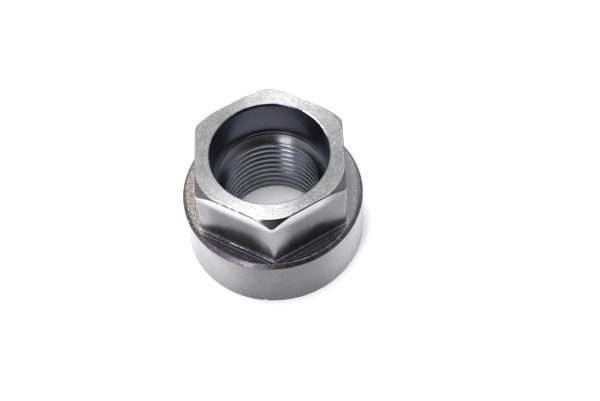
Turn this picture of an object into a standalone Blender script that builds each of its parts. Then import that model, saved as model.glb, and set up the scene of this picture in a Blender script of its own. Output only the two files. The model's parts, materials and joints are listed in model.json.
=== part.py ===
"""Collar nut: a hexagon head on a round collar, counterbored from the top, with a right-hand internal thread.

Lengths are in metres. The nut stands on its bearing face: the origin is the centre of that face, +Z runs up
the thread's axis, and one corner of the hexagon points to -Y. The nut is one piece of bar, so it is made the
way a workshop makes it: a turned collar, a milled hexagon, a turned bore and a tapped thread.
"""

import math

import bmesh
import bpy
from mathutils import Vector

MM = 0.001

# Outside
NUT_HEIGHT = 32.7 * MM
COLLAR_DIAMETER = 45.0 * MM
COLLAR_THICKNESS = 16.6 * MM
COLLAR_CHAMFER = 0.9 * MM
HEX_ACROSS_FLATS = 36.0 * MM
TOP_CIRCLE_MARGIN = 1.5 * MM  # how much wider the turned circle on top is than the flats
TOP_CHAMFER_ANGLE = math.radians(45)  # slope of the cone that trims the hexagon's top corners

# Thread, 1 inch with 12 turns to the inch
INCH = 25.4 * MM
THREAD_MAJOR_DIAMETER = 1.0 * INCH
THREAD_PITCH = INCH / 12
THREAD_DEPTH = 0.95 * MM  # from the drilled hole out to the bottom of the grooves
THREAD_HALF_ANGLE = math.radians(30)
THREAD_ROOT_FLAT = THREAD_PITCH / 8  # flat left at the bottom of each groove

# Bore, from the top down
COUNTERBORE_DEPTH = 11.5 * MM
LEDGE_WIDTH = 0.675 * MM  # flat floor between the counterbore's wall and the countersink
COUNTERSINK_MARGIN = 1.75 * MM  # how much wider the countersink is than the thread's major diameter
LEAD_IN_MARGIN = 0.2 * MM  # the same for the lead-in at the bearing face
COUNTERSINK_ANGLE = math.radians(45)
MOUTH_BREAK_WIDTH = 0.3 * MM
MOUTH_BREAK_DEPTH = 0.7 * MM

# Fineness of the facets
TURNED_SEGMENTS = 96
THREAD_SEGMENTS = 48

# Helpers
OVERRUN = 1.0 * MM  # how far a cutter runs past the metal, and the head into the collar
MERGE_DISTANCE = 0.0001 * MM
SHARP_ANGLE = math.radians(30)


def clear_scene():
    for old in list(bpy.data.objects):
        bpy.data.objects.remove(old, do_unlink=True)


def add_object(name, bm):
    """A mesh object made from the bmesh, with its normals facing out."""
    bmesh.ops.remove_doubles(bm, verts=bm.verts, dist=MERGE_DISTANCE)
    bmesh.ops.recalc_face_normals(bm, faces=bm.faces)
    mesh = bpy.data.meshes.new(name)
    bm.to_mesh(mesh)
    bm.free()
    made = bpy.data.objects.new(name, mesh)
    bpy.context.scene.collection.objects.link(made)
    return made


def add_helper(name, bm):
    """A solid that only shapes the nut and is never a piece of its own."""
    helper = add_object(name, bm)
    helper.hide_render = True
    helper.display_type = "WIRE"
    return helper


def add_polyline(bm, outline):
    """Edges through the (radius, height) points of a turned outline, drawn at +X."""
    corners = [bm.verts.new((radius, 0.0, height)) for radius, height in outline]
    for first, second in zip(corners, corners[1:]):
        bm.edges.new((first, second))


def turned(outline):
    """The solid that a closed (radius, height) outline, from the axis out and back, sweeps about the Z axis."""
    bm = bmesh.new()
    add_polyline(bm, outline)
    bmesh.ops.spin(
        bm,
        geom=bm.verts[:] + bm.edges[:],
        cent=(0.0, 0.0, 0.0),
        axis=(0.0, 0.0, 1.0),
        angle=2 * math.pi,
        steps=TURNED_SEGMENTS,
        use_merge=True,
        use_duplicate=False,
    )
    return bm


def hex_corner_radius():
    return HEX_ACROSS_FLATS / 2 / math.cos(math.pi / 6)


def thread_minor_radius():
    return THREAD_MAJOR_DIAMETER / 2 - THREAD_DEPTH


def countersink_radius():
    return (THREAD_MAJOR_DIAMETER + COUNTERSINK_MARGIN) / 2


def counterbore_radius():
    return countersink_radius() + LEDGE_WIDTH


def ledge_height():
    return NUT_HEIGHT - COUNTERBORE_DEPTH


def head_prism():
    """The hexagon, standing in the collar and running past the top."""
    bottom = COLLAR_THICKNESS - OVERRUN
    top = NUT_HEIGHT + OVERRUN
    bm = bmesh.new()
    bmesh.ops.create_cone(
        bm,
        cap_ends=True,
        cap_tris=False,
        segments=6,
        radius1=hex_corner_radius(),
        radius2=hex_corner_radius(),
        depth=top - bottom,
    )
    bmesh.ops.translate(bm, verts=bm.verts, vec=Vector((0.0, 0.0, (top + bottom) / 2)))
    return bm


def head_envelope():
    """The turned shape that trims the hexagon: a flat top and a cone that takes off its upper corners."""
    top_radius = (HEX_ACROSS_FLATS + TOP_CIRCLE_MARGIN) / 2
    outer = hex_corner_radius() + OVERRUN
    cone_foot = NUT_HEIGHT - (outer - top_radius) * math.tan(TOP_CHAMFER_ANGLE)
    bottom = COLLAR_THICKNESS - 2 * OVERRUN
    return turned([(0.0, bottom), (outer, bottom), (outer, cone_foot), (top_radius, NUT_HEIGHT), (0.0, NUT_HEIGHT)])


def collar():
    radius = COLLAR_DIAMETER / 2
    shoulder = (radius, COLLAR_THICKNESS - COLLAR_CHAMFER)
    rim = (radius - COLLAR_CHAMFER, COLLAR_THICKNESS)
    return turned([(0.0, 0.0), (radius, 0.0), shoulder, rim, (0.0, COLLAR_THICKNESS)])


def counterbore_cutter():
    """Counterbore, ledge and countersink, open at the top, where the mouth's edge is broken."""
    core = thread_minor_radius() - OVERRUN
    floor = ledge_height()
    sink = countersink_radius()
    bore = counterbore_radius()
    cone_foot = floor - (sink - core) * math.tan(COUNTERSINK_ANGLE)
    mouth = bore + MOUTH_BREAK_WIDTH
    break_slope = MOUTH_BREAK_WIDTH / MOUTH_BREAK_DEPTH
    top = NUT_HEIGHT + OVERRUN
    return turned([
        (0.0, cone_foot),
        (core, cone_foot),
        (sink, floor),
        (bore, floor),
        (bore, NUT_HEIGHT - MOUTH_BREAK_DEPTH),
        (mouth + OVERRUN * break_slope, top),
        (0.0, top),
    ])


def lead_in_cutter():
    """The lead-in cone at the bearing face."""
    slope = math.tan(COUNTERSINK_ANGLE)
    core = thread_minor_radius() - OVERRUN
    rim = (THREAD_MAJOR_DIAMETER + LEAD_IN_MARGIN) / 2
    tip = (rim - core) * slope
    return turned([(0.0, -OVERRUN), (rim + OVERRUN / slope, -OVERRUN), (core, tip), (0.0, tip)])


def thread_cutter():
    """A tap: a rod with the thread's ridge wound round it, past the bearing face and into the counterbore."""
    minor = thread_minor_radius()
    major = THREAD_MAJOR_DIAMETER / 2
    crest = THREAD_ROOT_FLAT / 2
    foot = crest + THREAD_DEPTH * math.tan(THREAD_HALF_ANGLE)
    start = -OVERRUN - 2 * THREAD_PITCH
    reach = ledge_height() + OVERRUN + THREAD_PITCH
    turns = math.ceil((reach - start) / THREAD_PITCH)
    centre = start + THREAD_PITCH / 2
    ridge = [
        (minor, start),
        (minor, centre - foot),
        (major, centre - crest),
        (major, centre + crest),
        (minor, centre + foot),
        (minor, start + THREAD_PITCH),
    ]
    bm = bmesh.new()
    add_polyline(bm, ridge)
    bmesh.ops.spin(
        bm,
        geom=bm.verts[:] + bm.edges[:],
        cent=(0.0, 0.0, 0.0),
        axis=(0.0, 0.0, 1.0),
        dvec=(0.0, 0.0, THREAD_PITCH / THREAD_SEGMENTS),
        angle=2 * math.pi * turns,
        steps=THREAD_SEGMENTS * turns,
        use_merge=False,
        use_duplicate=False,
    )
    bmesh.ops.remove_doubles(bm, verts=bm.verts, dist=MERGE_DISTANCE)
    close_to_axis(bm, start + THREAD_PITCH / 2)
    close_to_axis(bm, start + THREAD_PITCH * (turns + 0.5))
    return bm


def close_to_axis(bm, height):
    """Closes the open end of the rod nearest this height with a fan to a point on the axis."""
    rim = [edge for edge in bm.edges if edge.is_boundary and abs(edge.verts[0].co.z - height) < 2 * THREAD_PITCH]
    hub = bm.verts.new((0.0, 0.0, height))
    for edge in rim:
        bm.faces.new((edge.verts[0], edge.verts[1], hub))


def shape_with(body, operation, helper):
    step = body.modifiers.new(helper.name, "BOOLEAN")
    step.operation = operation
    step.solver = "EXACT"
    step.object = helper


def bake(body):
    """Turns the body's modifiers into its mesh, and removes what shaped it."""
    helpers = [step.object for step in body.modifiers]
    graph = bpy.context.evaluated_depsgraph_get()
    mesh = bpy.data.meshes.new_from_object(body.evaluated_get(graph))
    mesh.name = body.name
    body.modifiers.clear()
    body.data = mesh
    for helper in helpers:
        bpy.data.objects.remove(helper, do_unlink=True)


def dark_steel():
    """Steel with a worn black finish."""
    material = bpy.data.materials.new("dark_steel")
    material.use_nodes = True
    shader = material.node_tree.nodes["Principled BSDF"]
    shader.inputs["Base Color"].default_value = (0.14, 0.14, 0.15, 1.0)
    shader.inputs["Metallic"].default_value = 1.0
    shader.inputs["Roughness"].default_value = 0.42
    return material


def make_nut():
    nut = add_object("nut_body", head_prism())
    shape_with(nut, "INTERSECT", add_helper("head_envelope", head_envelope()))
    shape_with(nut, "UNION", add_helper("collar", collar()))
    shape_with(nut, "DIFFERENCE", add_helper("counterbore_cutter", counterbore_cutter()))
    shape_with(nut, "DIFFERENCE", add_helper("lead_in_cutter", lead_in_cutter()))
    shape_with(nut, "DIFFERENCE", add_helper("thread_cutter", thread_cutter()))
    bake(nut)
    nut.data.shade_smooth()
    nut.data.set_sharp_from_angle(angle=SHARP_ANGLE)
    nut.data.materials.clear()
    nut.data.materials.append(dark_steel())
    return nut


clear_scene()
make_nut()
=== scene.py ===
"""A collar nut in worn, blackened steel, standing on a pale studio floor."""

import json
import math

import bmesh
import bpy
from bpy.props import FloatProperty, FloatVectorProperty, PointerProperty
from mathutils import Matrix, Vector, noise


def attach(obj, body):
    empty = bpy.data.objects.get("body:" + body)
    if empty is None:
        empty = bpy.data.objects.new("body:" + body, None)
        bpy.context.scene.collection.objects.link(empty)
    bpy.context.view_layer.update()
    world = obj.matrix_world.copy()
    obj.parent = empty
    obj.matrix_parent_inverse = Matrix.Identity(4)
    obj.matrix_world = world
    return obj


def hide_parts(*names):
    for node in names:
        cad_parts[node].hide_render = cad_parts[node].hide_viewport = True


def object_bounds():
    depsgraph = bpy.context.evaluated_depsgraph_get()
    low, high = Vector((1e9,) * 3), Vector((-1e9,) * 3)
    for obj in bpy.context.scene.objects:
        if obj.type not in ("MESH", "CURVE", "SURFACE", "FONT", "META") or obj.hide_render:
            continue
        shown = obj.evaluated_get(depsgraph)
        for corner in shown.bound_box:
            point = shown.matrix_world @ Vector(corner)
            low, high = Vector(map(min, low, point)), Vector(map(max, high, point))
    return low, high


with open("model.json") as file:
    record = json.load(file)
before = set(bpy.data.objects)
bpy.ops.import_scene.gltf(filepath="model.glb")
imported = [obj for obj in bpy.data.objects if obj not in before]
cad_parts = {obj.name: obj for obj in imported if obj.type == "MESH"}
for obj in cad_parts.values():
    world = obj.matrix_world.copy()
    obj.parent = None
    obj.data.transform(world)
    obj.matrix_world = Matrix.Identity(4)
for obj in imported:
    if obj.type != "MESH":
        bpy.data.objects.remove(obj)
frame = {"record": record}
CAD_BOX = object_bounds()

bl_info = {
    "name": "Collar Nut",
    "version": (1, 0, 0),
    "blender": (4, 5, 0),
    "location": "View3D > Sidebar > Collar Nut",
    "description": "Builds a counterbored collar nut in blackened steel, and a studio to show it in",
    "category": "Add Mesh",
}

MM = 0.001
FULL_TURN = 2 * math.pi
FLATS = 6
BODY = "root"
CAD_NODE = "nut_body"

# How finely the surface is divided
COLUMNS = 540  # upright lines round the nut; a multiple of 12, so that one falls on every corner
COLUMN_CROWDING = 0.8  # 0 spreads the lines evenly, and nearer 1 draws them to the hexagon's corners
THREAD_STEPS = 144  # per turn
ARC_STEPS = 3  # pieces in the rounding of an edge
WELD = 0.0003 * MM  # vertices nearer than this are one
CREASE = math.radians(34)  # edges that turn more than this are shaded sharp


def mount_point(name):
    """The place of one of the frame's mounts, in metres."""
    return Vector(next(m["pos_m"] for m in frame["record"]["mounts"] if m["name"] == name))


def mount_axis(name):
    """The direction that one of the frame's mounts faces."""
    return Vector(next(m["axis"] for m in frame["record"]["mounts"] if m["name"] == name))


BOX_LOW, BOX_HIGH = (Vector(corner) for corner in CAD_BOX)
FLAT_DISTANCE = mount_point("wrench_flat_1").dot(mount_axis("wrench_flat_1"))
COLLAR_TOP = mount_point("collar_face").z
LEDGE_HEIGHT = mount_point("counterbore_floor").z


# --------------------------------------------------------------------------------------------------
# What a user can change
# --------------------------------------------------------------------------------------------------


def length(name, description, default):
    """A length that a user can set, in metres."""
    return FloatProperty(
        name=name, description=description, default=default, min=0.0, unit="LENGTH", precision=5
    )


def tint(name, description, default):
    """A colour that a user can set."""
    return FloatVectorProperty(
        name=name, description=description, default=default, size=3, min=0.0, max=1.0, subtype="COLOR"
    )


def brightness(name, description, default):
    """How strong a light is."""
    return FloatProperty(name=name, description=description, default=default, min=0.0)


def turning(name, description, degrees):
    """An angle that a user can set."""
    return FloatProperty(
        name=name, description=description, default=math.radians(degrees), subtype="ANGLE"
    )


class NutSizes(bpy.types.PropertyGroup):
    """Sizes of the nut. The outside ones come from the frame."""

    height: length("Height", "From the bearing face to the top face", BOX_HIGH.z)
    collar_radius: length("Collar radius", "Outside of the round collar", BOX_HIGH.x)
    collar_top: length("Collar top", "Height of the collar's milled upper face", COLLAR_TOP)
    collar_chamfer: length("Collar chamfer", "Width and depth of the upper edge's chamfer", 0.9 * MM)
    flat_distance: length("Flat distance", "From the axis to each wrench flat", FLAT_DISTANCE)
    top_radius: length("Top radius", "Where the corner chamfers meet the top face", 18.75 * MM)
    mouth_radius: length("Mouth radius", "Counterbore at the top face, outside its broken edge", 14.55 * MM)
    mouth_depth: length("Mouth depth", "Height of the mouth's broken edge", 0.7 * MM)
    bore_radius: length("Counterbore radius", "Plain wall of the counterbore", 14.25 * MM)
    ledge_height: length("Ledge height", "Height of the counterbore's floor", LEDGE_HEIGHT)
    sink_radius: length("Countersink radius", "Where the countersink meets the ledge", 13.575 * MM)
    crown: length("Countersink crown", "How far the countersink bulges from a straight cone", 0.12 * MM)
    lead_in_radius: length("Lead-in radius", "Countersink at the bearing face", 12.8 * MM)
    thread_radius: length("Thread radius", "Bottom of the thread's grooves", 12.5 * MM)
    thread_depth: length("Thread depth", "From the crests to the bottom of the grooves", 0.75 * MM)
    thread_pitch: length("Thread pitch", "Rise in one turn, right-hand", 25.4 / 12 * MM)
    edge: length("Edge", "Rounding of the worn edges", 0.12 * MM)
    deburr: length("Deburring", "Least bevel along the top edge of each flat", 0.30 * MM)
    corner: length("Corner", "How much is worn off each upright corner", 0.21 * MM)


class NutColours(bpy.types.PropertyGroup):
    """Colours of the steel and what is on it."""

    oxide: tint("Black oxide", "Finish on the flats and the collar", (0.215, 0.21, 0.225))
    milled: tint("Milled oxide", "Darker finish on the collar's milled face", (0.064, 0.062, 0.075))
    bore: tint("Bore oxide", "Blue-black finish of the counterbore", (0.115, 0.113, 0.15))
    crest: tint("Rubbed crests", "Thread crests, polished by the screw", (0.28, 0.28, 0.32))
    worn: tint("Worn face", "The top face, where most of the finish has gone", (0.33, 0.33, 0.326))
    bright: tint("Bare steel", "Steel where the finish has worn off", (0.62, 0.62, 0.61))
    rust: tint("Rust", "Thin brown rust", (0.150, 0.118, 0.100))
    dry_rust: tint("Dry rust", "Paler rust that lies between the brown", (0.50, 0.45, 0.41))
    countersink: tint("Countersink", "Dark, smooth slope above the thread", (0.115, 0.113, 0.125))
    grain: tint("Bright grain", "Small shining grains in the worn top face", (0.80, 0.80, 0.79))
    chipped: tint("Chipped edge", "Edges and dents of the worn top face", (0.90, 0.90, 0.89))


class StageSettings(bpy.types.PropertyGroup):
    """The studio: floor, lights and camera."""

    floor: tint("Floor", "Colour of the floor", (0.92, 0.92, 0.92))
    overhead: brightness("Overhead light", "Power of the softbox above", 3.0)
    strip: brightness("Strip light", "Power of the tall softbox in front", 2.0)
    sky: brightness("Room light", "Strength of the light from the room", 1.32)
    elevation: turning("Elevation", "Camera's angle above the floor", 58.38)
    azimuth: turning("Azimuth", "Camera's turn about the nut", 2.93)
    roll: turning("Roll", "Camera's turn about its own view", -5.27)
    distance: length("Distance", "From the camera to the centre of the bearing face", 353.8 * MM)
    aim_right: length("Aim right", "How far right of the nut's foot the camera looks", 6.81 * MM)
    aim_up: length("Aim up", "How far above the nut's foot the camera looks", 5.5 * MM)
    lens: FloatProperty(name="Lens", description="Focal length", default=81.84, min=1.0, unit="CAMERA")


# --------------------------------------------------------------------------------------------------
# Shape: the outer skin, one upright section for each column
# --------------------------------------------------------------------------------------------------

REGIONS = (
    "bearing_face",
    "turned_side",
    "collar_chamfer",
    "milled_face",
    "wrench_flats",
    "corner_chamfers",
    "turned_top",
    "bore_wall",
    "thread",
)


def off_corner(angle):
    """Angle to the nearest upright corner of the hexagon, which has one at -Y."""
    step = FULL_TURN / FLATS
    turned = (angle - math.pi / 2) % step
    return min(turned, step - turned)


def crowded(angle):
    """The angle moved towards the nearest corner, which crowds the columns there."""
    return angle - COLUMN_CROWDING * math.sin(FLATS * (angle - math.pi / 2)) / FLATS


def head_radius(sizes, angle):
    """Radius of the hexagon at this angle, with its corners worn a little."""
    to_flat = math.pi / FLATS - off_corner(angle)
    sharp = sizes.flat_distance / math.cos(to_flat)
    worn = sizes.flat_distance / math.cos(math.pi / FLATS) - sizes.corner
    softness = sizes.corner
    gap = worn - sharp
    return worn - 0.5 * (gap + math.sqrt(gap * gap + softness * softness))


def section(sizes, angle):
    """Corners of the section, from the lead-in out and over to the ledge.

    Each is (radius, height, rounding, pieces to the next corner, region up to the next corner, wear).
    """
    head = head_radius(sizes, angle)
    overhang = head - sizes.top_radius
    cone = 0.5 * (overhang + math.sqrt(overhang * overhang + (2 * sizes.deburr) ** 2))
    cone = max(cone, sizes.deburr)
    edge = sizes.edge
    rim = sizes.collar_radius - sizes.collar_chamfer
    shoulder = sizes.collar_top - sizes.collar_chamfer
    return (
        (sizes.lead_in_radius + 2 * edge, 0.0, 0.0, 8, "bearing_face", 0.0),
        (sizes.collar_radius, 0.0, 1.2 * edge, 18, "turned_side", 0.5),
        (sizes.collar_radius, shoulder, 0.8 * edge, 3, "collar_chamfer", 0.0),
        (rim, sizes.collar_top, 0.8 * edge, 12, "milled_face", 0.4),
        (head, sizes.collar_top, 0.8 * edge, 16, "wrench_flats", 0.0),
        (head, sizes.height - cone, 1.2 * edge, 4, "corner_chamfers", 0.15),
        (head - cone, sizes.height, 1.2 * edge, 10, "turned_top", 0.35),
        (sizes.mouth_radius, sizes.height, 1.3 * edge, 2, "bore_wall", 1.0),
        (sizes.bore_radius, sizes.height - sizes.mouth_depth, 0.6 * edge, 12, "bore_wall", 0.2),
        (sizes.bore_radius, sizes.ledge_height, 0.6 * edge, 2, "bore_wall", 0.0),
        (sizes.sink_radius + edge, sizes.ledge_height, 0.0, 0, "bore_wall", 0.0),
    )


def rounded_section(corners, margin):
    """Points along the section: every corner is rounded, with a close line beside it.

    Each is (radius, height, region, wear).
    """
    points = []
    for index, (radius, height, rounding, pieces, region, wear) in enumerate(corners):
        here = Vector((radius, height))
        after = Vector(corners[min(index + 1, len(corners) - 1)][:2])
        before = Vector(corners[max(index - 1, 0)][:2])
        leave = here
        if rounding:
            reach = min(rounding, 0.3 * (after - here).length, 0.3 * (here - before).length)
            enter = here + (before - here).normalized() * reach
            leave = here + (after - here).normalized() * reach
            for step in range(ARC_STEPS):
                t = step / ARC_STEPS
                bend = (1 - t) ** 2 * enter + 2 * t * (1 - t) * here + t**2 * leave
                points.append((bend.x, bend.y, region, wear))
        points.append((leave.x, leave.y, region, wear))
        if not pieces:
            continue
        next_rounding = min(corners[index + 1][2], 0.3 * (after - here).length)
        arrive = after - (after - here).normalized() * next_rounding if next_rounding else after
        run = arrive - leave
        beside = min(margin / max(run.length, margin), 0.2)
        between = [beside + (1 - 2 * beside) * k / pieces for k in range(1, pieces)]
        for part in [beside, *between, 1 - beside]:
            point = leave + run * part
            points.append((point.x, point.y, region, 0.0))
    return points


def grid_line(place, pieces):
    """Which line of a grid a vertex is on, counted from 0, from its place between -1 and 1."""
    return round((place + 1) / 2 * pieces)


# Where two of the edges are rubbed bright and also carry a painted highlight: (edge, from this angle, to
# this one), in degrees
RUBBED_AND_HIGHLIT = {"rim": (-76.0, -42.0), "mouth": (20.0, 50.0)}


def within(degrees, arc, fade=7.0):
    """1 inside the arc, falling to 0 over the fade on either side."""
    middle = 0.5 * (arc[0] + arc[1])
    off = abs((degrees - middle + 180.0) % 360.0 - 180.0) - 0.5 * (arc[1] - arc[0])
    return min(max(1.0 - off / fade, 0.0), 1.0)


def edge_wear_and_highlight(sizes, angle, radius, height):
    """How much of an edge's wear shows here: some edges are bright over one arc only, partly wear and
    partly a painted highlight.
    """
    degrees = math.degrees(angle)
    outside = radius > sizes.collar_radius - 1.5 * sizes.collar_chamfer
    if outside and abs(height - sizes.collar_top) < 0.2 * MM:
        return 0.35 + 0.65 * within(degrees, RUBBED_AND_HIGHLIT["rim"])
    inside = radius < sizes.mouth_radius + 2 * sizes.edge
    if inside and height > sizes.height - 2 * sizes.mouth_depth:
        return 0.25 + 0.75 * within(degrees, RUBBED_AND_HIGHLIT["mouth"])
    return 1.0


def outer_skin(sizes):
    """The whole outside, the counterbore and the ledge, open at the thread."""
    columns = {}
    for column in range(COLUMNS):
        angle = crowded(FULL_TURN * column / COLUMNS)
        columns[column] = (angle, rounded_section(section(sizes, angle), 2 * sizes.edge))
    count = len(columns[0][1])
    bm = bmesh.new()
    bmesh.ops.create_grid(bm, x_segments=COLUMNS, y_segments=count - 1, size=1.0)
    region_of = [REGIONS.index(point[2]) for point in columns[0][1]]
    wear = bm.verts.layers.float.new("wear")
    for face in bm.faces:
        face.material_index = region_of[min(grid_line(vert.co.y, count - 1) for vert in face.verts)]
    for vert in bm.verts:
        station = grid_line(vert.co.y, count - 1)
        angle, points = columns[grid_line(vert.co.x, COLUMNS) % COLUMNS]
        radius, height, region, worn = points[station]
        # Partly edge wear, partly a painted highlight on the rim's and mouth's bright arcs.
        worn *= edge_wear_and_highlight(sizes, angle, radius, height)
        vert[wear] = worn
        vert.co = (radius * math.cos(angle), radius * math.sin(angle), height)
    bmesh.ops.remove_doubles(bm, verts=bm.verts, dist=WELD)
    return bm


# --------------------------------------------------------------------------------------------------
# Shape: the thread, cut from a solid tap
# --------------------------------------------------------------------------------------------------


def spun_solid(name, outline, steps):
    """A helper solid from a closed (radius, height) outline that starts and ends on the axis."""
    bm = bmesh.new()
    chain = [bm.verts.new((radius, 0.0, height)) for radius, height in outline]
    for first, second in zip(chain, chain[1:]):
        bm.edges.new((first, second))
    bmesh.ops.spin(
        bm,
        geom=bm.verts[:] + bm.edges[:],
        cent=(0.0, 0.0, 0.0),
        axis=(0.0, 0.0, 1.0),
        angle=FULL_TURN,
        steps=steps,
        use_merge=True,
        use_duplicate=False,
    )
    return helper(name, bm)


def helper(name, bm):
    """Links a helper solid's mesh to the scene, where a Boolean can use it."""
    bmesh.ops.remove_doubles(bm, verts=bm.verts, dist=WELD)
    bmesh.ops.recalc_face_normals(bm, faces=bm.faces)
    mesh = bpy.data.meshes.new(name)
    bm.to_mesh(mesh)
    bm.free()
    made = bpy.data.objects.new(name, mesh)
    bpy.context.scene.collection.objects.link(made)
    return made


RIDGE_EASE = 0.09 * MM  # rounding of the thread's edges
RIDGE_SLOPE = math.radians(30)  # half the angle between the thread's flanks


def ridge_outline(sizes, start):
    """One pitch of the tap, from crest land over the ridge to the next land, its edges eased."""
    root = sizes.thread_radius
    crest = root - sizes.thread_depth
    pitch = sizes.thread_pitch
    flat = pitch / 16
    foot = flat + sizes.thread_depth * math.tan(RIDGE_SLOPE)
    ease = RIDGE_EASE
    middle = start + pitch / 2
    half = [
        (crest, pitch / 2),
        (crest, foot + ease),
        (crest + 0.3 * ease, foot + 0.25 * ease),
        (crest + 1.2 * ease, foot - 0.8 * ease),
        (root - 1.6 * ease, flat + 0.9 * ease),
        (root - 0.3 * ease, flat - 0.3 * ease),
    ]
    lower = [(radius, middle - offset) for radius, offset in half]
    upper = [(radius, middle + offset) for radius, offset in reversed(half)]
    return lower + [(root, middle)] + upper


def tap(sizes):
    """A rod with the thread's ridge wound round it, closed at both ends."""
    pitch = sizes.thread_pitch
    start = -2.5 * pitch
    turns = math.ceil((sizes.ledge_height - start) / pitch) + 1
    outline = ridge_outline(sizes, start)
    bm = bmesh.new()
    bmesh.ops.create_grid(bm, x_segments=THREAD_STEPS * turns, y_segments=len(outline) - 1, size=1.0)
    for vert in bm.verts:
        turned = grid_line(vert.co.x, THREAD_STEPS * turns) / THREAD_STEPS
        radius, height = outline[grid_line(vert.co.y, len(outline) - 1)]
        angle = FULL_TURN * turned
        vert.co = (radius * math.cos(angle), radius * math.sin(angle), height + pitch * turned)
    bmesh.ops.remove_doubles(bm, verts=bm.verts, dist=WELD)
    for height in (start + pitch / 2, start + pitch * (turns + 0.5)):
        bounds = [edge for edge in bm.edges if edge.is_boundary]
        rim = [edge for edge in bounds if abs(edge.verts[0].co.z - height) < 2 * pitch]
        hub = bm.verts.new((0.0, 0.0, height))
        for edge in rim:
            bm.faces.new((edge.verts[0], edge.verts[1], hub))
    return helper("tap", bm)


SLOPE_STEPS = 8  # pieces in the countersink's crowned slope


def thread_skin(sizes):
    """The threaded wall from the ledge to the bearing face, with both countersinks, facing the axis."""
    core = sizes.thread_radius - 2 * sizes.thread_depth
    past = 3 * sizes.thread_pitch
    rod = tap(sizes)
    drop = sizes.sink_radius - core
    sink_foot = sizes.ledge_height - drop
    sink_top = sizes.ledge_height + past
    slope = []
    for step in range(SLOPE_STEPS + 1):
        part = step / SLOPE_STEPS
        crown = 4 * sizes.crown * part * (1 - part)
        slope.append((sizes.sink_radius - drop * part - crown, sizes.ledge_height - drop * part + crown))
    outline = [(0.0, sink_foot)] + slope[::-1] + [(sizes.sink_radius, sink_top), (0.0, sink_top)]
    sink = spun_solid("countersink", outline, COLUMNS)
    wide = sizes.lead_in_radius
    lead_tip = wide - core
    lead_outline = [(0.0, -past), (wide, -past), (wide, 0.0), (core, lead_tip), (0.0, lead_tip)]
    lead = spun_solid("lead_in", lead_outline, COLUMNS)
    for other in (sink, lead):
        join = rod.modifiers.new(other.name, "BOOLEAN")
        join.operation = "UNION"
        join.solver = "MANIFOLD"
        join.object = other
    graph = bpy.context.evaluated_depsgraph_get()
    bm = bmesh.new()
    bm.from_mesh(rod.evaluated_get(graph).to_mesh())
    for made in (rod, sink, lead):
        bpy.data.objects.remove(made, do_unlink=True)
    for height, keep in ((sizes.ledge_height, "below"), (0.0, "above")):
        bmesh.ops.bisect_plane(
            bm,
            geom=bm.verts[:] + bm.edges[:] + bm.faces[:],
            dist=WELD,
            plane_co=(0.0, 0.0, height),
            plane_no=(0.0, 0.0, 1.0),
            clear_outer=keep == "below",
            clear_inner=keep == "above",
        )
    bmesh.ops.remove_doubles(bm, verts=bm.verts, dist=WELD)
    bmesh.ops.reverse_faces(bm, faces=bm.faces)
    for face in bm.faces:
        face.material_index = REGIONS.index("thread")
    return bm


# --------------------------------------------------------------------------------------------------
# Shape: marks that milling and use have left
# --------------------------------------------------------------------------------------------------

# One pass of the milling cutter for each flat, by the angle it faces, in degrees. Each step is where the
# pass changes depth: (distance from the flat, width of the step, how far it drops), in millimetres.
PASSES = {
    -120: ((0.22, 0.11, 0.03), (1.05, 0.07, 0.03), (2.75, 0.12, -0.06)),
    -60: ((0.35, 0.06, 0.012), (1.35, 0.06, 0.015), (2.3, 0.05, 0.010)),
    0: ((0.5, 0.08, 0.03), (1.75, 0.14, 0.05), (2.6, 0.06, 0.03)),
    60: ((0.2, 0.12, 0.10), (1.5, 0.06, 0.03)),
    120: ((0.3, 0.06, 0.04), (2.1, 0.12, 0.08)),
    180: ((0.15, 0.10, 0.05), (1.2, 0.06, 0.04), (2.4, 0.08, -0.04)),
}
BARE_AND_HIGHLIT_STEP = (-120, 0.22)  # the pass, and where its step starts, that is rubbed bare and also painted bright as a highlight
BARE_AND_HIGHLIT_STEP_WEAR = 0.56


def mill_passes(bm, sizes):
    """Cuts each pass's steps into the collar's upper face, and lowers what lies beyond them."""
    milled = REGIONS.index("milled_face")
    wear = bm.verts.layers.float["wear"]
    rim = sizes.collar_radius - sizes.collar_chamfer
    kept = sizes.edge * 1.5
    for facing, steps in PASSES.items():
        normal = Vector((math.cos(math.radians(facing)), math.sin(math.radians(facing)), 0.0))
        for start, width, drop in steps:
            near = sizes.flat_distance + start * MM
            far = near + width * MM
            for distance in (near, far):
                faces = [face for face in bm.faces if face.material_index == milled]
                verts = {vert for face in faces for vert in face.verts}
                edges = {edge for face in faces for edge in face.edges}
                bmesh.ops.bisect_plane(
                    bm,
                    geom=list(verts | edges) + faces,
                    dist=WELD,
                    plane_co=normal * distance,
                    plane_no=normal,
                )
            faces = [face for face in bm.faces if face.material_index == milled]
            for vert in {vert for face in faces for vert in face.verts}:
                if vert.co.to_2d().length > rim - kept or vert.co.z > sizes.collar_top + WELD:
                    continue
                past = vert.co.dot(normal) - near
                if past > width * MM - WELD:
                    vert.co.z -= drop * MM
                # The step is painted bright: partly bare steel, partly a painted highlight.
                if (facing, start) == BARE_AND_HIGHLIT_STEP and -WELD < past < width * MM + WELD:
                    vert[wear] = BARE_AND_HIGHLIT_STEP_WEAR


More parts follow.
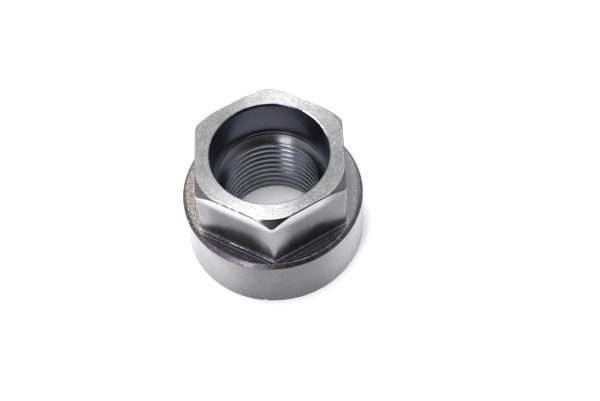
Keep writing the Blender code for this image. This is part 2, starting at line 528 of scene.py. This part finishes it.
# Dents that knocks have left: (angle in degrees, radius, height, size, depth), the lengths in millimetres
DENTS = (
    (-128.9, 18.3, 32.6, 0.55, 0.22),
    (-115.6, 18.1, 32.6, 0.75, 0.26),
    (-106.5, 18.7, 32.5, 0.55, 0.20),
    (-122.0, 18.0, 32.6, 0.40, 0.12),
    (-146.0, 19.4, 31.2, 0.40, 0.16),
    (-140.0, 18.9, 29.0, 0.30, 0.12),
    (105.5, 18.4, 32.6, 0.60, 0.30),
    (97.0, 18.6, 32.5, 0.35, 0.16),
    (6.2, 15.8, 32.7, 0.35, 0.10),
    (-59.5, 18.0, 24.5, 0.35, 0.12),
    (-30.0, 20.7, 19.0, 0.40, 0.15),
    (32.0, 20.6, 29.5, 0.45, 0.16),
    (152.0, 20.5, 24.0, 0.50, 0.18),
    (-98.0, 22.5, 0.2, 0.60, 0.18),
    (-40.0, 22.3, 0.2, 0.45, 0.14),
    (75.0, 22.4, 15.9, 0.60, 0.22),
    (200.0, 22.3, 15.8, 0.55, 0.20),
    (139.0, 22.4, 0.2, 0.70, 0.20),
)


def knock(bm, wear):
    """Presses each dent towards the nut's middle, and marks it as worn."""
    middle = Vector((0.0, 0.0, 0.5 * (BOX_LOW.z + BOX_HIGH.z)))
    for degrees, radius, height, size, depth in DENTS:
        angle = math.radians(degrees)
        place = Vector((radius * math.cos(angle), radius * math.sin(angle), height)) * MM
        inward = (middle - place).normalized()
        for vert in bm.verts:
            away = (vert.co - place).length / (size * MM)
            if away < 1.0:
                vert.co += inward * depth * MM * (1 - away * away) ** 2
                vert[wear] = max(vert[wear], 1.0 - away)


LEAST_WEAR = 0.2  # edges that are worn less than this stay even
UNEVENNESS = 0.022 * MM
BURR = 0.07 * MM


def roughen_edges(bm, wear, sizes):
    """Small unevenness along the worn edges, and a ragged burr on the collar's rim."""
    rim = sizes.collar_radius - sizes.collar_chamfer
    for vert in bm.verts:
        if vert[wear] < LEAST_WEAR:
            continue
        place = vert.co / MM
        uneven = noise.noise(place * 1.3) + 0.6 * noise.noise(place * 3.7)
        flat = vert.co.to_2d()
        outward = Vector((flat.x, flat.y, 0.0)).normalized()
        shift = UNEVENNESS * uneven * vert[wear]
        vert.co -= outward * abs(shift)
        if vert.co.z < sizes.height - MM and vert.co.z > MM:
            vert.co.z += shift
        if abs(flat.length - rim) < 0.2 * MM and abs(vert.co.z - sizes.collar_top) < 0.1 * MM:
            ragged = noise.noise(place * 0.9 + Vector((7.0, 3.0, 1.0)))
            vert.co.z += BURR * max(ragged, 0.0)


def nut_mesh(sizes):
    """One closed mesh: the outer skin and the threaded wall, joined at the ledge and the bearing face."""
    bm = outer_skin(sizes)
    mill_passes(bm, sizes)
    wear = bm.verts.layers.float["wear"]
    knock(bm, wear)
    roughen_edges(bm, wear, sizes)
    bmesh.ops.remove_doubles(bm, verts=bm.verts, dist=WELD)
    thread = thread_skin(sizes)
    kept = bpy.data.meshes.new("thread_skin")
    thread.to_mesh(kept)
    thread.free()
    bm.from_mesh(kept)
    bpy.data.meshes.remove(kept)
    for height, region in ((sizes.ledge_height, "bore_wall"), (0.0, "bearing_face")):
        bounds = [edge for edge in bm.edges if edge.is_boundary]
        rims = [edge for edge in bounds if abs(edge.verts[0].co.z - height) < 0.05 * MM]
        ring = bmesh.ops.bridge_loops(bm, edges=rims)
        for face in ring["faces"]:
            face.material_index = REGIONS.index(region)
    bmesh.ops.recalc_face_normals(bm, faces=bm.faces)
    for edge in bm.edges:
        if len(edge.link_faces) != 2:
            raise RuntimeError(f"the nut's mesh is open or branches near {edge.verts[0].co[:]}")
    mesh = bpy.data.meshes.new("nut")
    bm.to_mesh(mesh)
    bm.free()
    mesh.shade_smooth()
    mesh.set_sharp_from_angle(angle=CREASE)
    return mesh


# --------------------------------------------------------------------------------------------------
# Materials
# --------------------------------------------------------------------------------------------------

# A noise's first number below is its scale, in features to the metre. A ramp's first two numbers are the
# values between which it acts, and the next two are what it gives at them.

FILM_ROUGHNESS = 0.2
FILM_IOR = 1.8


class Recipe:
    """A material's node tree, built one node at a time. Links go from a node's output to a named input."""

    def __init__(self, name):
        self.material = bpy.data.materials.new(name)
        self.material.use_nodes = True
        self.tree = self.material.node_tree
        self.shader = self.tree.nodes["Principled BSDF"]
        self.place = self.add("ShaderNodeTexCoord").outputs["Object"]

    def add(self, kind, settings=None, **inputs):
        """A new node. Inputs are given by name, or as _0, _1 and so on by number."""
        made = self.tree.nodes.new(kind)
        for key, value in (settings or {}).items():
            setattr(made, key, value)
        for key, value in inputs.items():
            self.put(value, made.inputs[int(key[1:]) if key[0] == "_" else key])
        return made

    def put(self, value, socket):
        """Links an output to the socket, or sets the socket to a plain value."""
        if isinstance(value, bpy.types.NodeSocket):
            self.tree.links.new(value, socket)
        else:
            socket.default_value = value

    def math(self, operation, first, second=0.0):
        return self.add("ShaderNodeMath", {"operation": operation}, _0=first, _1=second).outputs[0]

    def noise(self, scale, detail=4.0, roughness=0.55, place=None):
        made = self.add("ShaderNodeTexNoise", Scale=scale, Detail=detail, Roughness=roughness)
        self.put(place or self.place, made.inputs["Vector"])
        return made.outputs["Fac"]

    def stretched(self, x=1.0, y=1.0, z=1.0, degrees=0.0):
        """The surface's own place, turned about Z and then stretched."""
        turned = self.add("ShaderNodeMapping", Vector=self.place)
        turned.inputs["Rotation"].default_value = (0.0, 0.0, math.radians(degrees))
        return self.add("ShaderNodeMapping", Vector=turned.outputs[0], Scale=(x, y, z)).outputs[0]

    def ramp(self, value, low, high, from_value=0.0, to_value=1.0):
        """Goes smoothly from one value to the other as the input goes from low to high."""
        made = self.add("ShaderNodeMapRange", {"interpolation_type": "SMOOTHSTEP"}, Value=value)
        ends = {"From Min": low, "From Max": high, "To Min": from_value, "To Max": to_value}
        for key, number in ends.items():
            made.inputs[key].default_value = number
        return made.outputs[0]

    def mix(self, amount, first, second):
        """Blends from the first colour to the second."""
        made = self.add("ShaderNodeMix", {"data_type": "RGBA"})
        self.put(amount, made.inputs["Factor"])
        for name, value in (("A", first), ("B", second)):
            colour = [s for s in made.inputs if s.name == name and s.type == "RGBA"][0]
            self.put((*value, 1.0) if isinstance(value, tuple) else value, colour)
        return [s for s in made.outputs if s.type == "RGBA"][0]

    def bump(self, height, distance, below=None):
        """Raises the surface by up to this distance, on top of the bump below if there is one."""
        made = self.add("ShaderNodeBump", Height=height, Distance=distance, Strength=1.0)
        if below:
            self.put(below, made.inputs["Normal"])
        return made.outputs[0]

    def wear(self):
        """How worn the surface is: the mesh's own mark, broken up by noise."""
        mark = self.add("ShaderNodeAttribute", {"attribute_name": "wear"}).outputs["Fac"]
        broken = self.math("MULTIPLY", mark, self.ramp(self.noise(1400.0), 0.30, 0.66, 0.45, 1.0))
        return self.ramp(broken, 0.15, 0.75)

    def radius(self):
        """Distance from the nut's axis."""
        level = (1.0, 1.0, 0.0)
        flat = self.add("ShaderNodeVectorMath", {"operation": "MULTIPLY"}, _0=self.place, _1=level)
        measured = self.add("ShaderNodeVectorMath", {"operation": "LENGTH"}, _0=flat.outputs[0])
        return measured.outputs["Value"]

    def along(self, axis):
        """The place along X, Y or Z: Z is the height above the bearing face."""
        return self.add("ShaderNodeSeparateXYZ", _0=self.place).outputs["XYZ".index(axis)]

    def above(self):
        """Height above the bearing face."""
        return self.along("Z")

    def streaks(self, distance, scale, detail=2.0):
        """Noise that changes only with this distance."""
        line = {"noise_dimensions": "1D"}
        made = self.add("ShaderNodeTexNoise", line, Scale=scale, Detail=detail, W=distance)
        return made.outputs["Fac"]

    def rings(self, scale):
        """Noise that changes only with the distance from the axis, as a turning tool's marks do."""
        return self.streaks(self.radius(), scale, 3.0)

    def brushed(self, spread, amount):
        """Stretches highlights across the tool's marks: "upright" on walls, "outward" on turned ends."""
        share = {"upright": (0.0, 0.0, 1.0), "outward": (1.0, 1.0, 0.0)}[spread]
        lift = (0.0, 0.0, 1.0)  # keeps an upright direction even at the height of the bearing face
        lifted = self.add("ShaderNodeVectorMath", {"operation": "ADD"}, _0=self.place, _1=lift)
        part = self.add("ShaderNodeVectorMath", {"operation": "MULTIPLY"}, _0=lifted.outputs[0], _1=share)
        self.put(part.outputs[0], self.shader.inputs["Tangent"])
        self.shader.inputs["Anisotropic"].default_value = amount

    def oiled(self, amount):
        """A thin film, denser than real oil, which shines at low angles."""
        self.shader.inputs["Coat Weight"].default_value = amount
        self.shader.inputs["Coat Roughness"].default_value = FILM_ROUGHNESS
        self.shader.inputs["Coat IOR"].default_value = FILM_IOR

    def finish(self, colour, roughness, normal=None, metallic=1.0):
        """Connects the shader and returns the finished material."""
        self.put(colour, self.shader.inputs["Base Color"])
        self.put(roughness, self.shader.inputs["Roughness"])
        self.shader.inputs["Metallic"].default_value = metallic
        if normal:
            self.put(normal, self.shader.inputs["Normal"])
        return self.material


def colour_of(setting):
    """A colour setting as three plain numbers."""
    return tuple(setting)


def scaled(colour, share):
    """The colour made darker by a share below 1, or lighter by one above."""
    return tuple(channel * share for channel in colour)


def wrench_flats(colours):
    """Satin black oxide, clouded, with tiny pits and specks and bare edges.

    It is painted paler towards the top and near the corners, a painted reflection of the floor, and less so
    towards +X, a painted shade there.
    """
    r = Recipe("wrench_flats")
    oxide = colour_of(colours.oxide)
    cloud = r.noise(260.0, 3.0)
    grain = r.noise(3000.0, 2.0)
    colour = r.mix(r.ramp(cloud, 0.35, 0.68), scaled(oxide, 0.42), scaled(oxide, 0.56))
    # Painted reflection: paler towards the top and near the corners, in uneven patches.
    upper = r.ramp(r.above(), 27.9 * MM, 31.2 * MM)
    corner = r.ramp(r.radius(), FLAT_DISTANCE + 0.4 * MM, FLAT_DISTANCE + 1.9 * MM, 0.0, 0.3)
    uneven_sheen = r.ramp(r.noise(120.0, 3.0), 0.35, 0.65, 0.6, 0.9)
    painted_sheen = r.math("MULTIPLY", r.math("MAXIMUM", upper, corner), uneven_sheen)
    # Painted shade: less of the painted reflection towards +X.
    less_at_right = r.ramp(r.along("X"), 11.0 * MM, 16.0 * MM, 1.0, 0.25)
    painted_sheen = r.math("MULTIPLY", painted_sheen, less_at_right)
    colour = r.mix(painted_sheen, colour, scaled(oxide, 3.1))
    specks = r.ramp(r.noise(1500.0, 1.0), 0.71, 0.77)
    colour = r.mix(r.math("MULTIPLY", specks, 0.35), colour, colour_of(colours.bright))
    pits = r.ramp(r.noise(1100.0, 2.0, place=r.stretched(1.0, 1.0, 1.3)), 0.70, 0.77)
    colour = r.mix(r.math("MULTIPLY", pits, 0.5), colour, scaled(oxide, 0.35))
    colour = r.mix(r.wear(), colour, colour_of(colours.bright))
    rough = r.ramp(cloud, 0.3, 0.7, 0.19, 0.26)
    lines = r.noise(700.0, 3.0, place=r.stretched(0.35, 0.35, 6.0))
    height = r.math("ADD", r.math("MULTIPLY", grain, 0.5), r.math("MULTIPLY", lines, 0.4))
    r.oiled(0.25)
    return r.finish(colour, rough, r.bump(height, 0.006 * MM))


def corner_chamfers(colours):
    """Turned chamfers on the hexagon's corners, rubbed like the top face but darker."""
    r = Recipe("corner_chamfers")
    worn = scaled(colour_of(colours.worn), 0.44)
    patches = r.noise(420.0, 4.0, 0.6)
    speckle = r.noise(2100.0, 3.0, 0.7)
    colour = r.mix(r.ramp(patches, 0.34, 0.66), scaled(worn, 0.82), scaled(worn, 1.12))
    colour = r.mix(r.ramp(speckle, 0.56, 0.76, 0.0, 0.6), colour, scaled(worn, 0.45))
    colour = r.mix(r.wear(), colour, colour_of(colours.bright))
    rough = r.ramp(patches, 0.3, 0.7, 0.21, 0.28)
    r.brushed("outward", 0.3)
    return r.finish(colour, rough, r.bump(speckle, 0.005 * MM))


def turned_top(colours):
    """Turned end face with the finish rubbed off: fine rings, speckle and bright grain."""
    r = Recipe("turned_top")
    bright = colour_of(colours.worn)
    rings = r.rings(3600.0)
    speckle = r.noise(2100.0, 3.0, 0.7)
    patches = r.noise(330.0, 4.0, 0.6)
    colour = r.mix(r.ramp(patches, 0.34, 0.66), scaled(bright, 0.86), scaled(bright, 1.10))
    colour = r.mix(r.ramp(rings, 0.42, 0.66, 0.0, 0.40), colour, scaled(bright, 0.55))
    colour = r.mix(r.ramp(speckle, 0.48, 0.66, 0.0, 0.5), colour, scaled(bright, 0.38))
    colour = r.mix(r.ramp(r.noise(2300.0, 2.0), 0.60, 0.74, 0.0, 0.5), colour, colour_of(colours.grain))
    colour = r.mix(r.wear(), colour, colour_of(colours.chipped))
    rough = r.ramp(patches, 0.3, 0.7, 0.36, 0.46)
    height = r.math("ADD", r.math("MULTIPLY", rings, 0.6), r.math("MULTIPLY", speckle, 0.6))
    r.brushed("outward", 0.85)
    return r.finish(colour, rough, r.bump(height, 0.008 * MM))


def off_flat(r):
    """Distance out from the nearest wrench flat, in metres, less than zero inside the hexagon."""
    furthest = None
    for degrees in (0.0, 60.0, 120.0):
        normal = (math.cos(math.radians(degrees)), math.sin(math.radians(degrees)), 0.0)
        dot = r.add("ShaderNodeVectorMath", {"operation": "DOT_PRODUCT"}, _0=r.place, _1=normal)
        across = r.math("ABSOLUTE", dot.outputs["Value"])
        furthest = across if furthest is None else r.math("MAXIMUM", furthest, across)
    return r.math("SUBTRACT", furthest, FLAT_DISTANCE)


def milled_face(colours):
    """Dark milled face: cutter lines along each flat, and thin rust towards -X.

    Towards +X it has more bare streaks and is paler: the streaks are wear, but their increase and the
    paleness there are a painted reflection of the room.
    """
    r = Recipe("milled_face")
    oxide = colour_of(colours.milled)
    distance = off_flat(r)
    lines = r.streaks(distance, 3600.0, 2.0)
    broad = r.streaks(distance, 1100.0, 1.0)
    grain = r.noise(2400.0, 3.0, 0.65)
    colour = r.mix(r.ramp(lines, 0.35, 0.65), scaled(oxide, 0.8), scaled(oxide, 1.3))
    bare = r.math("MULTIPLY", r.ramp(lines, 0.56, 0.68), r.ramp(r.noise(420.0, 3.0), 0.45, 0.66))
    # Bare streaks are wear; their strengthening towards +X is a painted reflection.
    right = r.ramp(r.along("X"), 14.0 * MM, 18.5 * MM, 0.14, 0.75)
    colour = r.mix(r.math("MULTIPLY", bare, right), colour, colour_of(colours.bright))
    # Painted reflection: paler towards +X.
    painted_sheen_at_right = r.ramp(r.along("X"), 14.5 * MM, 18.0 * MM, 0.0, 0.26)
    colour = r.mix(painted_sheen_at_right, colour, colour_of(colours.bright))
    colour = r.mix(r.wear(), colour, colour_of(colours.bright))
    left = r.ramp(r.along("X"), -15.5 * MM, -18.0 * MM)
    front = r.ramp(r.along("Y"), -13.5 * MM, -10.5 * MM)
    back = r.ramp(r.along("Y"), 11.0 * MM, 6.0 * MM)
    patch = r.math("MULTIPLY", left, r.math("MULTIPLY", front, back))
    amount = r.math("MULTIPLY", patch, r.ramp(r.noise(1300.0, 4.0, 0.7), 0.32, 0.52))
    dry = r.ramp(r.noise(2600.0, 3.0, 0.7), 0.44, 0.64)
    rusty = r.mix(dry, colour_of(colours.rust), colour_of(colours.dry_rust))
    colour = r.mix(amount, colour, rusty)
    rough = r.math("ADD", r.ramp(grain, 0.3, 0.7, 0.24, 0.36), r.math("MULTIPLY", amount, 0.22))
    height = r.math("ADD", r.math("MULTIPLY", lines, 0.5), r.math("MULTIPLY", broad, 1.2))
    return r.finish(colour, rough, r.bump(grain, 0.004 * MM, below=r.bump(height, 0.010 * MM)))


def collar_chamfer(colours):
    """The collar's chamfer: dark, scabby oxide with brown specks and small bare spots."""
    r = Recipe("collar_chamfer")
    oxide = colour_of(colours.milled)
    speckle = r.noise(2000.0, 3.0, 0.7)
    colour = r.mix(r.ramp(r.noise(500.0, 4.0), 0.35, 0.65), scaled(oxide, 0.9), scaled(oxide, 1.5))
    brown = r.ramp(r.noise(1200.0, 4.0, 0.7), 0.48, 0.64, 0.0, 0.35)
    colour = r.mix(brown, colour, scaled(colour_of(colours.rust), 1.3))
    bare = r.ramp(r.noise(2600.0, 2.0), 0.62, 0.72, 0.0, 0.6)
    colour = r.mix(bare, colour, scaled(colour_of(colours.bright), 0.7))
    colour = r.mix(r.wear(), colour, colour_of(colours.bright))
    rough = r.ramp(speckle, 0.3, 0.7, 0.28, 0.42)
    return r.finish(colour, rough, r.bump(speckle, 0.010 * MM))


def turned_side(colours):
    """The collar's turned side: satin oxide, faint rings, small pits and a brown bloom at its upper edge.

    It is painted paler towards both ends of the X axis: a painted reflection of the bright floor there.
    """
    r = Recipe("turned_side")
    oxide = colour_of(colours.oxide)
    cloud = r.noise(190.0, 4.0, 0.6)
    rings = r.noise(900.0, 3.0, place=r.stretched(0.12, 0.12, 5.0))
    grain = r.noise(3200.0, 2.0)
    colour = r.mix(r.ramp(cloud, 0.33, 0.68), scaled(oxide, 0.32), scaled(oxide, 0.46))
    # Painted reflection: paler towards both ends of X, in uneven patches.
    left = r.ramp(r.along("X"), -4.0 * MM, -15.0 * MM)
    right = r.ramp(r.along("X"), 9.0 * MM, 18.0 * MM)
    ends = r.math("MAXIMUM", left, right)
    painted_sheen = r.math("MULTIPLY", ends, r.ramp(r.noise(60.0, 3.0), 0.3, 0.7, 0.6, 1.0))
    colour = r.mix(painted_sheen, colour, scaled(oxide, 1.25))
    r.oiled(0.6)
    pits = r.ramp(r.noise(1150.0, 2.0), 0.64, 0.74)
    colour = r.mix(r.math("MULTIPLY", pits, 0.45), colour, scaled(oxide, 0.30))
    specks = r.ramp(r.noise(1700.0, 1.0, place=r.stretched(1.0, 1.0, 1.0, 40.0)), 0.71, 0.77)
    colour = r.mix(r.math("MULTIPLY", specks, 0.2), colour, colour_of(colours.bright))
    upper = r.ramp(r.above(), 13.8 * MM, 16.2 * MM)
    bloom = r.math("MULTIPLY", upper, r.ramp(r.noise(850.0, 4.0, 0.7), 0.50, 0.68))
    colour = r.mix(r.math("MULTIPLY", bloom, 0.45), colour, colour_of(colours.rust))
    colour = r.mix(r.wear(), colour, colour_of(colours.bright))
    rough = r.ramp(cloud, 0.3, 0.7, 0.26, 0.36)
    height = r.math("ADD", r.math("MULTIPLY", rings, 0.7), r.math("MULTIPLY", grain, 0.5))
    height = r.math("SUBTRACT", height, r.math("MULTIPLY", pits, 1.5))
    r.brushed("upright", 0.35)
    return r.finish(colour, rough, r.bump(height, 0.008 * MM))


def bore_wall(colours):
    """Blue-black bored wall with faint boring rings."""
    r = Recipe("bore_wall")
    oxide = colour_of(colours.bore)
    rings = r.noise(1000.0, 3.0, place=r.stretched(0.08, 0.08, 5.0))
    cloud = r.noise(150.0, 3.0)
    colour = r.mix(r.ramp(cloud, 0.35, 0.68), scaled(oxide, 0.88), scaled(oxide, 1.12))
    colour = r.mix(r.wear(), colour, colour_of(colours.bright))
    rough = r.ramp(cloud, 0.3, 0.7, 0.20, 0.27)
    r.brushed("upright", 0.6)
    return r.finish(colour, rough, r.bump(rings, 0.004 * MM))


def thread(colours):
    """Cut thread: crests polished by the screw, blue-black grooves and a dark, smooth countersink."""
    r = Recipe("thread")
    oxide = colour_of(colours.bore)
    radius = r.radius()
    groove = r.ramp(radius, 11.82 * MM, 12.05 * MM)
    below = r.ramp(r.above(), LEDGE_HEIGHT - 1.1 * MM, LEDGE_HEIGHT - 1.7 * MM)
    groove = r.math("MULTIPLY", groove, below)
    grain = r.noise(900.0, 2.0, 0.5)
    along = r.noise(300.0, 2.0)
    crest = scaled(colour_of(colours.crest), 0.95)
    colour = r.mix(r.ramp(along, 0.35, 0.68), scaled(crest, 0.88), scaled(crest, 1.10))
    depth = r.ramp(r.above(), 4.0 * MM, 15.0 * MM, 0.35, 1.0)
    colour = r.mix(r.math("MULTIPLY", groove, depth), colour, scaled(oxide, 0.9))
    sink = r.ramp(r.above(), LEDGE_HEIGHT - 1.9 * MM, LEDGE_HEIGHT - 1.5 * MM)
    colour = r.mix(sink, colour, colour_of(colours.countersink))
    rough = r.math("ADD", r.ramp(grain, 0.3, 0.7, 0.20, 0.25), r.math("MULTIPLY", sink, 0.02))
    r.brushed("upright", 0.6)
    return r.finish(colour, rough, r.bump(grain, 0.001 * MM))


def bearing_face(colours):
    """The underside: turned rings, the finish rubbed off in a ring where it has been tightened down."""
    r = Recipe("bearing_face")
    oxide = colour_of(colours.oxide)
    radius = r.radius()
    rings = r.rings(3000.0)
    rubbed = r.math("MULTIPLY", r.ramp(radius, 14.0 * MM, 16.0 * MM), r.ramp(radius, 22.0 * MM, 19.5 * MM))
    rubbed = r.math("MULTIPLY", rubbed, r.ramp(r.noise(420.0, 4.0, 0.65), 0.38, 0.62))
    colour = r.mix(r.ramp(rings, 0.35, 0.65), scaled(oxide, 0.8), scaled(oxide, 1.2))
    colour = r.mix(r.math("MULTIPLY", rubbed, 0.8), colour, colour_of(colours.bright))
    colour = r.mix(r.wear(), colour, colour_of(colours.bright))
    grain = r.noise(2600.0, 3.0)
    rough = r.ramp(grain, 0.3, 0.7, 0.30, 0.44)
    height = r.math("ADD", r.math("MULTIPLY", rings, 0.8), r.math("MULTIPLY", grain, 0.4))
    r.brushed("outward", 0.5)
    return r.finish(colour, rough, r.bump(height, 0.012 * MM))


FINISHES = {
    "bearing_face": bearing_face,
    "turned_side": turned_side,
    "collar_chamfer": collar_chamfer,
    "milled_face": milled_face,
    "wrench_flats": wrench_flats,
    "corner_chamfers": corner_chamfers,
    "turned_top": turned_top,
    "bore_wall": bore_wall,
    "thread": thread,
}


def studio_floor(colour):
    """Pale matt board with the faintest grain."""
    r = Recipe("studio_floor")
    fibre = r.noise(700.0, 4.0)
    shade = r.mix(r.ramp(r.noise(9.0, 2.0), 0.3, 0.7), scaled(colour, 0.985), colour)
    return r.finish(shade, 0.85, r.bump(fibre, 0.02 * MM), metallic=0.0)


# --------------------------------------------------------------------------------------------------
# Operators
# --------------------------------------------------------------------------------------------------


class COLLARNUT_OT_make_nut(bpy.types.Operator):
    """Make the nut: collar, hexagon, counterbore and thread in one closed mesh"""

    bl_idname = "collar_nut.make_nut"
    bl_label = "Make Nut"

    def execute(self, context):
        scene = context.scene
        nut = bpy.data.objects.new("nut", nut_mesh(scene.nut_sizes))
        scene.collection.objects.link(nut)
        for region in REGIONS:
            nut.data.materials.append(FINISHES[region](scene.nut_colours))
        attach(nut, BODY)
        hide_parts(CAD_NODE)
        return {"FINISHED"}


def add_softbox(name, place, width, height, power):
    """An even, rectangular light that faces LIGHT_AIM."""
    light = bpy.data.lights.new(name, "AREA")
    light.shape = "RECTANGLE"
    light.size = width
    light.size_y = height
    light.energy = power
    made = bpy.data.objects.new(name, light)
    made.location = place
    made.rotation_euler = (Vector(LIGHT_AIM) - Vector(place)).to_track_quat("-Z", "Y").to_euler()
    bpy.context.scene.collection.objects.link(made)


# (name, place, width, height) in metres. Both softboxes face a point a little above the nut's foot.
OVERHEAD = ("overhead_softbox", (-0.047, 0.06, 0.66), 0.20, 0.44)
FRONT_STRIP = ("front_strip", (-0.277, -0.460, 0.31), 0.19, 0.40)
LIGHT_AIM = (0.0, 0.0, 0.02)
FLOOR_REACH = 40.0  # from the middle to each side, so that its edge is out of sight
FLOOR_GAP = 0.02 * MM
ROOM_TINT = (0.98, 0.985, 1.0, 1.0)
BACKDROP = 1.06  # how bright the room looks to the camera, apart from the light it gives

# Where the room is dimmer: (direction, cosine where that starts, cosine where it is full, share taken off)
DIM_PARTS = (
    ((0.20, -0.86, 0.42), 0.50, 0.93, 0.94),
    ((0.95, -0.20, 0.15), 0.45, 0.92, 0.35),
)


def light_room(strength):
    """A pale room, dim in front, where the camera stands, and rather dim on the right."""
    world = bpy.data.worlds.new("room")
    world.use_nodes = True
    tree = world.node_tree
    background = tree.nodes["Background"]
    direction = tree.nodes.new("ShaderNodeTexCoord").outputs["Generated"]
    seen = tree.nodes.new("ShaderNodeLightPath").outputs["Is Camera Ray"]
    level = None
    for centre, start, full, share in DIM_PARTS:
        toward = tree.nodes.new("ShaderNodeVectorMath")
        toward.operation = "DOT_PRODUCT"
        toward.inputs[1].default_value = Vector(centre).normalized()
        tree.links.new(direction, toward.inputs[0])
        fall = tree.nodes.new("ShaderNodeMapRange")
        fall.interpolation_type = "SMOOTHSTEP"
        ends = {"From Min": start, "From Max": full, "To Min": 1.0, "To Max": 1.0 - share}
        for key, number in ends.items():
            fall.inputs[key].default_value = number
        tree.links.new(toward.outputs["Value"], fall.inputs["Value"])
        product = tree.nodes.new("ShaderNodeMath")
        product.operation = "MULTIPLY"
        product.inputs[1].default_value = strength
        tree.links.new(fall.outputs[0], product.inputs[0])
        if level:
            tree.links.new(level, product.inputs[1])
        level = product.outputs[0]
    pick = tree.nodes.new("ShaderNodeMix")
    pick.data_type = "FLOAT"
    tree.links.new(seen, pick.inputs["Factor"])
    tree.links.new(level, pick.inputs["A"])
    pick.inputs["B"].default_value = BACKDROP
    tree.links.new(pick.outputs[0], background.inputs["Strength"])
    background.inputs["Color"].default_value = ROOM_TINT
    bpy.context.scene.world = world


SENSOR_WIDTH = 36.0  # millimetres
NEAREST_SEEN = 1 * MM


def add_camera(stage):
    """The camera looks at a point near the nut's foot, from above and in front."""
    camera = bpy.data.objects.new("camera", bpy.data.cameras.new("camera"))
    camera.data.lens = stage.lens
    camera.data.sensor_width = SENSOR_WIDTH
    camera.data.clip_start = NEAREST_SEEN
    turn = Matrix.Rotation(stage.azimuth, 3, "Z")
    back = turn @ Vector((0.0, -math.cos(stage.elevation), math.sin(stage.elevation)))
    across = turn @ Vector((1.0, 0.0, 0.0))
    place = back * stage.distance
    target = across * stage.aim_right + back.cross(across) * stage.aim_up
    forward = (target - place).normalized()
    side = (across - forward * across.dot(forward)).normalized()
    head = side.cross(forward)
    right = math.cos(stage.roll) * side + math.sin(stage.roll) * head
    up = math.cos(stage.roll) * head - math.sin(stage.roll) * side
    axes = Matrix((right, up, -forward)).transposed()
    camera.matrix_world = Matrix.Translation(place) @ axes.to_4x4()
    bpy.context.scene.collection.objects.link(camera)
    bpy.context.scene.camera = camera


class COLLARNUT_OT_make_stage(bpy.types.Operator):
    """Make the pale floor, the soft lights and the camera"""

    bl_idname = "collar_nut.make_stage"
    bl_label = "Make Stage"

    def execute(self, context):
        scene = context.scene
        stage = scene.nut_stage
        bm = bmesh.new()
        bmesh.ops.create_grid(bm, x_segments=1, y_segments=1, size=FLOOR_REACH)
        bmesh.ops.translate(bm, verts=bm.verts, vec=(0.0, 0.0, BOX_LOW.z - FLOOR_GAP))
        mesh = bpy.data.meshes.new("floor")
        bm.to_mesh(mesh)
        bm.free()
        floor = bpy.data.objects.new("floor", mesh)
        scene.collection.objects.link(floor)
        floor.data.materials.append(studio_floor(colour_of(stage.floor)))
        add_softbox(*OVERHEAD, stage.overhead)
        add_softbox(*FRONT_STRIP, stage.strip)
        light_room(stage.sky)
        add_camera(stage)
        scene.view_settings.view_transform = "Standard"
        return {"FINISHED"}


class COLLARNUT_PT_panel(bpy.types.Panel):
    """Sizes, colours and stage of the collar nut"""

    bl_label = "Collar Nut"
    bl_space_type = "VIEW_3D"
    bl_region_type = "UI"
    bl_category = "Collar Nut"

    def draw(self, context):
        scene = context.scene
        groups = {"Sizes": scene.nut_sizes, "Colours": scene.nut_colours, "Stage": scene.nut_stage}
        for title, group in groups.items():
            box = self.layout.box()
            box.label(text=title)
            for name in group.__annotations__:
                box.prop(group, name)
        self.layout.operator(COLLARNUT_OT_make_nut.bl_idname)
        self.layout.operator(COLLARNUT_OT_make_stage.bl_idname)


CLASSES = (
    NutSizes,
    NutColours,
    StageSettings,
    COLLARNUT_OT_make_nut,
    COLLARNUT_OT_make_stage,
    COLLARNUT_PT_panel,
)


def register():
    for cls in CLASSES:
        bpy.utils.register_class(cls)
    bpy.types.Scene.nut_sizes = PointerProperty(type=NutSizes)
    bpy.types.Scene.nut_colours = PointerProperty(type=NutColours)
    bpy.types.Scene.nut_stage = PointerProperty(type=StageSettings)


def unregister():
    del bpy.types.Scene.nut_stage
    del bpy.types.Scene.nut_colours
    del bpy.types.Scene.nut_sizes
    for cls in reversed(CLASSES):
        bpy.utils.unregister_class(cls)


def main():
    register()
    bpy.ops.collar_nut.make_stage()
    bpy.ops.collar_nut.make_nut()
    bpy.context.view_layer.update()


if __name__ == "__main__":
    main()
